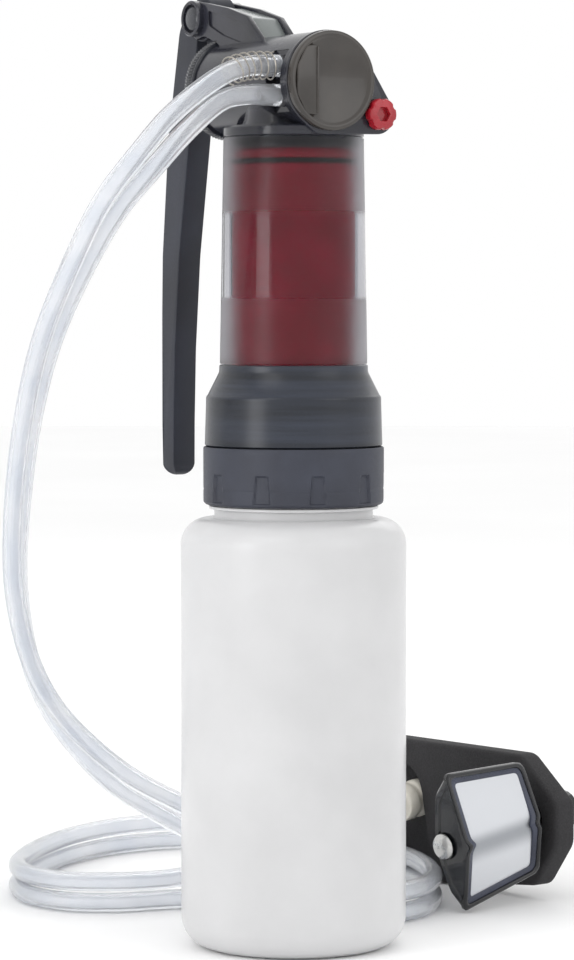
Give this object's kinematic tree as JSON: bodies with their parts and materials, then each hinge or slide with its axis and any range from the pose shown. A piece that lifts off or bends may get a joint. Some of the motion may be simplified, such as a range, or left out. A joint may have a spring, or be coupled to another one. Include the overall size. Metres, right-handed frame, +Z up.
{
  "type": "pump water filter",
  "caption": "Lever-driven water filter pump screwed onto a wide-mouth bottle, with a cartridge housing, twin clear hoses and a floating mesh prefilter.",
  "frame": {"origin": "centre of the bottle's flat base, on the surface it stands on", "axes": "+Z up along the bottle's axis; +X to the right and +Y to the back as the object is seen from the front"},
  "size_m": [0.2443, 0.3108, 0.3775],
  "materials": {
    "bottle": "milky translucent blow-moulded polyethylene, satin",
    "ring": "fine matte moulded grain",
    "base": "dark blue-grey translucent, satin, with fine turned lines",
    "housing": "smoky translucent, lightly frosted, with a clear polished band",
    "cartridge": "deep red, smooth satin",
    "seal": "black rubber",
    "fibre": "packed fine white fibres",
    "head": "dark smoky translucent glass-filled plastic",
    "nut": "dark matte plastic",
    "white_parts": "off-white acetal, smooth",
    "steel": "brushed stainless steel",
    "lever": "dark navy-grey matte with a soft grain",
    "cover": "brown-grey smoky translucent, satin",
    "knob": "bright red, glossy",
    "strainer": "glossy black with a dark blue inner border",
    "mesh": "very fine silvery woven mesh",
    "foam": "charcoal closed-cell foam, fine pores",
    "hose": "clear flexible vinyl, glossy"
  },
  "bodies": {
    "bottle": {"bottle": "bottle"},
    "thread": {"bottle_gasket": "seal"},
    "pump": {"bottle_ring": "ring", "outlet_base": "base", "cartridge_housing": "housing", "housing_seal_lower": "seal", "housing_seal_upper": "seal", "cartridge_shell": "cartridge", "cartridge_top_cap": "cartridge", "cartridge_seal_top": "seal", "cartridge_bottom_cap": "cartridge", "cartridge_seal_bottom": "seal", "fibre_bundle": "fibre", "head_body": "head", "rear_nut": "nut", "pivot_pin": "steel", "pivot_clip": "steel", "valve_cover": "cover", "cover_seal": "seal", "valve_block": "white_parts", "inlet_valve": "seal", "outlet_valve": "seal", "relief_spring": "steel", "intake_barb": "head", "purge_barb": "head", "intake_hose": "hose", "purge_hose": "hose", "hose_spring": "steel", "strainer_axle": "steel", "strainer_bush": "white_parts", "strainer_manifold": "strainer", "strainer_barb": "white_parts", "strainer_float": "foam"},
    "lever": {"lever": "lever", "rod_pin": "steel"},
    "piston": {"piston": "white_parts", "piston_seal": "seal", "piston_rod": "nut"},
    "relief_knob": {"relief_knob": "knob", "relief_seal": "seal"},
    "relief_plunger": {"relief_plunger": "white_parts"},
    "strainer": {"strainer_frame": "strainer", "mesh_front_upper": "mesh", "mesh_front_lower": "mesh", "mesh_back_lower": "mesh", "mesh_back_upper": "mesh"}
  },
  "joints": [
    {"name": "thread_rise", "type": "slide", "parent": "bottle", "child": "thread", "axis": [0, 0, 1], "range_m": [0, 0.0061]},
    {"name": "pump_unscrew", "type": "hinge", "parent": "thread", "child": "pump", "pos_m": [0, 0, 0.185], "axis": [0, 0, 1], "range_deg": [0, 540]},
    {"name": "lever_swing", "type": "hinge", "parent": "pump", "child": "lever", "pos_m": [-0.03227, 0.04881, 0.3685], "axis": [0.848, 0.5299, 0], "range_deg": [0, 52]},
    {"name": "piston_slide", "type": "slide", "parent": "pump", "child": "piston", "axis": [-0.5299, 0.848, 0], "range_m": [0, 0.0273]},
    {"name": "relief_knob_turn", "type": "hinge", "parent": "pump", "child": "relief_knob", "pos_m": [0.03273, -0.01256, 0.3271], "axis": [0.5299, -0.848, 0], "range_deg": [0, 90]},
    {"name": "relief_plunger_slide", "type": "slide", "parent": "pump", "child": "relief_plunger", "axis": [0.5299, -0.848, 0], "range_m": [0, 0.0015], "stiffness_N_per_m": 800, "springref_m": -0.002},
    {"name": "strainer_swivel", "type": "hinge", "parent": "pump", "child": "strainer", "pos_m": [0.0629, 0.075, 0.0276], "axis": [0.7659, 0.6269, 0.1426], "range_deg": [-45, 0]}
  ],
  "couplings": [
    {"joint": "thread_rise", "follows": "pump_unscrew", "m_per_rad": 0.00063662},
    {"joint": "piston_slide", "follows": "lever_swing", "m_per_rad": 0.02987}
  ]
}
